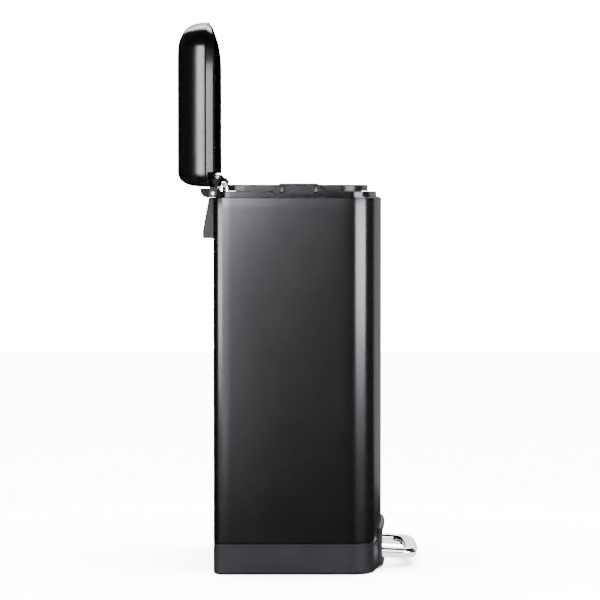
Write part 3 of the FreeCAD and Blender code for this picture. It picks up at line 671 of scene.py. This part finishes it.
def tube(bm, a, b, radius, sides=14):
    """Closed round bar between two points, with domed ends."""
    a = Vector(a)
    b = Vector(b)
    frame_turn = (b - a).to_track_quat("Z", "Y").to_matrix()
    length = (b - a).length
    rings = []
    for along, share in ((0, 0.55), (0.35, 0.9), (1.0, 1.0)):  # along the bar and out from it, in radii
        rings.append((along * radius, share * radius))
    rings += [(length - along, r) for along, r in reversed(rings)]
    loops = []
    for along, r in rings:
        loop = []
        for i in range(sides):
            angle = 2 * math.pi * i / sides
            loop.append(tuple(a + frame_turn @ Vector((r * math.cos(angle), r * math.sin(angle), along))))
        loops.append(loop)
    ends = stitch(bm, loops)
    bm.faces.new(ends[0])
    bm.faces.new(ends[-1])


def grip_ribs():
    """Rounded posts and sloping ribs that edge each hand hold of the bucket."""
    post_r = 3.0 * MM
    post_y = 27.0 * MM
    post_foot_z = 602.6 * MM
    post_head_z = 616.4 * MM
    rib_r = 1.3 * MM
    rib_foot_y = 44.0 * MM
    rib_head_y = 30.5 * MM
    rib_foot_z = 606.0 * MM
    rib_head_z = 617.0 * MM
    bm = bmesh.new()
    for side in (-1, 1):
        post_x = side * 182.2 * MM
        rib_x = side * 182.6 * MM
        for end in (-1, 1):
            tube(bm, (post_x, end * post_y, post_foot_z), (post_x, end * post_y, post_head_z), post_r)
            tube(bm, (rib_x, end * rib_foot_y, rib_foot_z), (rib_x, end * rib_head_y, rib_head_z), rib_r)
    return link("grip_ribs", bm, "bucket", sharp=50)


finish_as(cut_arch(body_shell()), "black_steel", "body_shell")
finish_as(pedal_surround(), "grey_plastic", "pedal_housing")
finish_as(pedal_loop(), "chrome", "pedal")
finish_as(grip_ribs(), "gloss_plastic")
finish_as(lid_dome(), "black_steel", "lid_shell")
finish_as(lid_band(), "black_steel", "lid_frame")


# ---- floor, light and camera ----

def floor():
    """Plain pale floor."""
    mesh = bpy.data.meshes.new("floor")
    half = 6.5
    corners = [(-half, -half, 0), (half, -half, 0), (half, half, 0), (-half, half, 0)]
    mesh.from_pydata(corners, [], [(0, 1, 2, 3)])
    obj = bpy.data.objects.new("floor", mesh)
    bpy.context.scene.collection.objects.link(obj)
    m = Nodes("pale_floor", (0.86, 0.86, 0.86), 0.9, specular=0.1)
    m.vary_roughness(m.noise(scale=3, detail=3), low=0.86, high=0.94)
    mesh.materials.append(m.material)
    obj.visible_glossy = False
    return obj


WHITE = (1.0, 1.0, 1.0)
COOL = (0.95, 0.93, 1.0)


def area_light(name, place, target, width, height, power, tint=COOL, only=()):
    """A soft rectangular lamp, unseen by the camera; only lists what it falls on, if not everything."""
    data = bpy.data.lights.new(name, "AREA")
    data.shape = "RECTANGLE"
    data.size = width
    data.size_y = height
    data.energy = power
    data.color = tint
    obj = bpy.data.objects.new(name, data)
    obj.location = place
    obj.rotation_euler = (Vector(target) - Vector(place)).to_track_quat("-Z", "Y").to_euler()
    obj.visible_camera = False
    bpy.context.scene.collection.objects.link(obj)
    if only:
        group = bpy.data.collections.new(name + "_targets")
        for piece in only:
            group.objects.link(piece)
        obj.light_linking.receiver_collection = group
    return obj


def world():
    """White backdrop for the camera, near darkness for reflections."""
    seen_strength = 22.0
    lit_strength = 0.03
    scene_world = bpy.data.worlds.new("studio")
    bpy.context.scene.world = scene_world
    scene_world.use_nodes = True
    tree = scene_world.node_tree
    back = tree.nodes["Background"]
    back.inputs["Color"].default_value = (1, 1, 1, 1)
    back.inputs["Strength"].default_value = lit_strength
    white = tree.nodes.new("ShaderNodeBackground")
    white.inputs["Strength"].default_value = seen_strength
    path = tree.nodes.new("ShaderNodeLightPath")
    mix = tree.nodes.new("ShaderNodeMixShader")
    out = tree.nodes["World Output"]
    dark_input = 1
    white_input = 2
    tree.links.new(path.outputs["Is Camera Ray"], mix.inputs["Fac"])
    tree.links.new(back.outputs["Background"], mix.inputs[dark_input])
    tree.links.new(white.outputs["Background"], mix.inputs[white_input])
    tree.links.new(mix.outputs["Shader"], out.inputs["Surface"])


def camera():
    """Long lens, square to the can's side and tilted slightly down."""
    sensor_mm = 36.0
    lens_mm = 182.9
    place = (-5.002, -0.002, 0.607)
    tilt = math.radians(2.05)
    data = bpy.data.cameras.new("camera")
    data.sensor_width = sensor_mm
    data.lens = lens_mm
    obj = bpy.data.objects.new("camera", data)
    obj.location = place
    aim = Vector((math.cos(tilt), 0, -math.sin(tilt)))
    obj.rotation_euler = aim.to_track_quat("-Z", "Y").to_euler()
    bpy.context.scene.collection.objects.link(obj)
    bpy.context.scene.camera = obj


pale_floor = floor()
world()

pieces = [o for o in bpy.data.objects if o.type == "MESH"]
lid_parts = [o for o in pieces if o.get("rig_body") == "lid"]
can_parts = [o for o in pieces if o.get("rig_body") != "lid"]
pedal_parts = [bpy.data.objects["pedal_loop"]]

# broad strips in front of the side, which the flat wall and the lid's flank reflect
area_light("frontal_core", place=(-1.8, 0.31, 0.88), target=(-0.2, 0.15, 0.75),
           width=0.28, height=0.62, power=17, only=can_parts)
area_light("lid_core", place=(-1.8, 0.355, 0.90), target=(-0.2, 0.17, 0.75),
           width=0.32, height=0.80, power=20, only=lid_parts)
area_light("frontal_low", place=(-1.8, 0.33, 0.30), target=(-0.2, 0.15, 0.30),
           width=0.28, height=0.50, power=2.2)

# upright strips that the rounded corners of the can reflect
area_light("rear_panel", place=(-1.75, 1.30, 0.46), target=(-0.2, 0.13, 0.45),
           width=1.7, height=0.36, power=44, only=can_parts)
area_light("front_panel", place=(-1.45, -1.60, 0.54), target=(-0.2, -0.1, 0.50),
           width=1.7, height=0.48, power=60, only=can_parts)
area_light("far_front", place=(1.0, -4.0, 0.9), target=(1.0, 0, 0.9), width=8.0, height=2.6, power=5)
area_light("backdrop", place=(5.0, -2.4, 0.9), target=(0, -2.4, 0.9), width=5.1, height=2.6, power=14)

# general light from above
overhead = area_light("overhead", place=(3.0, 0, 5.0), target=(3.0, 0, 0),
                      width=10.0, height=10.0, power=4000, tint=WHITE)
floor_wash = area_light("floor_wash", place=(0, 0, 5.0), target=(0, 0, 0),
                        width=18.0, height=18.0, power=26000, tint=WHITE, only=[pale_floor])
for panel in (overhead, floor_wash):
    panel.visible_glossy = False
area_light("top_glow", place=(3.0, 0, 3.2), target=(0, 0, 0.7),
           width=3.0, height=3.0, power=160, tint=WHITE)

# surroundings that only the chrome reflects
area_light("pedal_card", place=(-0.5, -0.35, 0.004), target=(-0.5, -0.35, 1.0),
           width=1.2, height=1.6, power=17, only=pedal_parts)
area_light("pedal_panel", place=(-1.3, -0.45, 0.85), target=(0, -0.13, 0.03),
           width=1.8, height=1.0, power=30, only=pedal_parts)
area_light("pedal_backdrop", place=(1.2, -0.3, 0.35), target=(0, -0.15, 0.05),
           width=2.2, height=0.6, power=9, only=pedal_parts)

camera()
